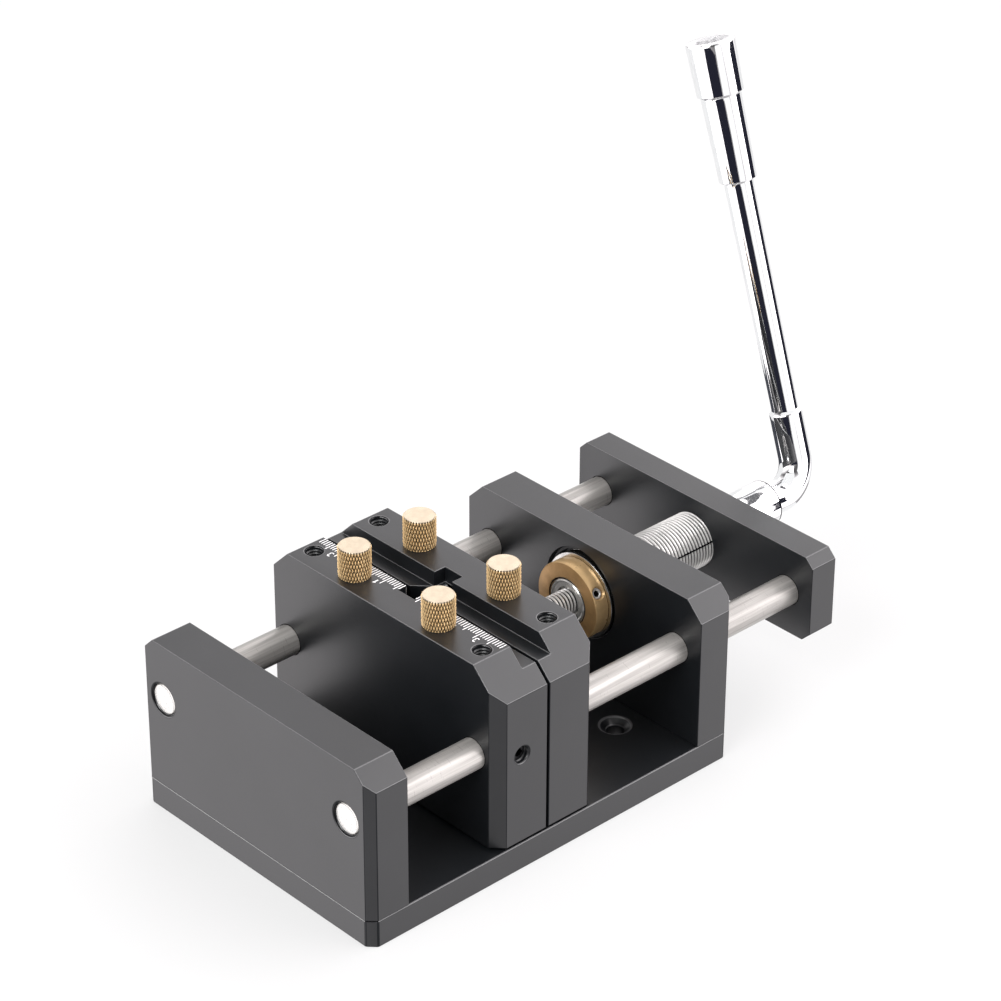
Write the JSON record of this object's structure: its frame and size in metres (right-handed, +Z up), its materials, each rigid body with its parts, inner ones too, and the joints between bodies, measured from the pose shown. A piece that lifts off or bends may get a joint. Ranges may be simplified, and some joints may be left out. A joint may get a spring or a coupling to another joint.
{
  "type": "self-centring vise",
  "caption": "Low bench vise whose jaws close on a common centre line, with a left and right hand screw, guide rods, thumb screws and an L-shaped crank.",
  "frame": {"origin": "centre of the underside of the base plate, on the plane that the bench touches", "axes": "+X along the guide rods and the screw, from the front plate to the crank; +Y across the jaws; +Z up"},
  "size_m": [0.2318, 0.1033, 0.1789],
  "materials": {
    "anodised_dark": "bead blasted and anodised, matte dark grey",
    "turned_steel": "ground and turned",
    "bearing_steel": "ground",
    "black_steel": "black oxide",
    "brass": "satin turned, knurled on the thumb screws",
    "chromed_steel": "polished chrome"
  },
  "bodies": {
    "base": {"base_plate": "anodised_dark", "front_plate": "anodised_dark", "support_plate": "anodised_dark", "base_screws": "black_steel", "front_housing_race": "bearing_steel", "rear_housing_race": "bearing_steel"},
    "screw": {"spindle": "turned_steel", "left_hand_stud": "turned_steel", "stud_pin": "turned_steel", "stop_collar": "brass", "collar_set_screw": "black_steel", "front_shaft_race": "bearing_steel", "rear_shaft_race": "bearing_steel"},
    "front_cage": {"front_needle_cage": "bearing_steel", "front_needles": "bearing_steel"},
    "rear_cage": {"rear_needle_cage": "bearing_steel", "rear_needles": "bearing_steel"},
    "crank": {"crank_wrench": "chromed_steel"},
    "front_carriage": {"yoke_plate": "anodised_dark", "guide_rod_left": "turned_steel", "guide_rod_right": "turned_steel", "yoke_screws": "black_steel", "front_jaw": "anodised_dark", "jaw_set_screws": "black_steel"},
    "rear_carriage": {"rear_jaw": "anodised_dark"},
    "knob_1": {"thumb_screw_1": "brass"},
    "knob_2": {"thumb_screw_2": "brass"},
    "knob_3": {"thumb_screw_3": "brass"},
    "knob_4": {"thumb_screw_4": "brass"}
  },
  "joints": [
    {"name": "screw_turn", "type": "hinge", "parent": "base", "child": "screw", "pos_m": [0.06, 0, 0.0395], "axis": [1, 0, 0], "range_deg": [-129.6, 9072]},
    {"name": "front_jaw_slide", "type": "slide", "parent": "base", "child": "front_carriage", "axis": [-1, 0, 0], "range_m": [-0.00046, 0.03151]},
    {"name": "rear_jaw_slide", "type": "slide", "parent": "base", "child": "rear_carriage", "axis": [1, 0, 0], "range_m": [-0.00046, 0.03151]},
    {"name": "front_cage_turn", "type": "hinge", "parent": "base", "child": "front_cage", "pos_m": [0.0582, 0, 0.0395], "axis": [1, 0, 0], "range_deg": [-64.9, 4536.1]},
    {"name": "rear_cage_turn", "type": "hinge", "parent": "base", "child": "rear_cage", "pos_m": [0.066, 0, 0.0395], "axis": [1, 0, 0], "range_deg": [-64.9, 4536.1]},
    {"name": "crank_pull_off", "type": "slide", "parent": "screw", "child": "crank", "axis": [1, 0, 0], "range_m": [0, 0.01]},
    {"name": "thumb_screw_1_turn", "type": "hinge", "parent": "front_carriage", "child": "knob_1", "pos_m": [-0.0167, 0.018, 0.069], "axis": [0, 0, 1], "range_deg": [0, 1440]},
    {"name": "thumb_screw_2_turn", "type": "hinge", "parent": "front_carriage", "child": "knob_2", "pos_m": [-0.0167, -0.018, 0.069], "axis": [0, 0, 1], "range_deg": [0, 1440]},
    {"name": "thumb_screw_3_turn", "type": "hinge", "parent": "rear_carriage", "child": "knob_3", "pos_m": [0.0083, 0.018, 0.069], "axis": [0, 0, 1], "range_deg": [0, 1440]},
    {"name": "thumb_screw_4_turn", "type": "hinge", "parent": "rear_carriage", "child": "knob_4", "pos_m": [0.0083, -0.018, 0.069], "axis": [0, 0, 1], "range_deg": [0, 1440]}
  ],
  "couplings": [
    {"joint": "front_jaw_slide", "follows": "screw_turn", "m_per_rad": 0.00019894},
    {"joint": "rear_jaw_slide", "follows": "screw_turn", "m_per_rad": 0.00019894},
    {"joint": "front_cage_turn", "follows": "screw_turn", "ratio": 0.5},
    {"joint": "rear_cage_turn", "follows": "screw_turn", "ratio": 0.5}
  ]
}
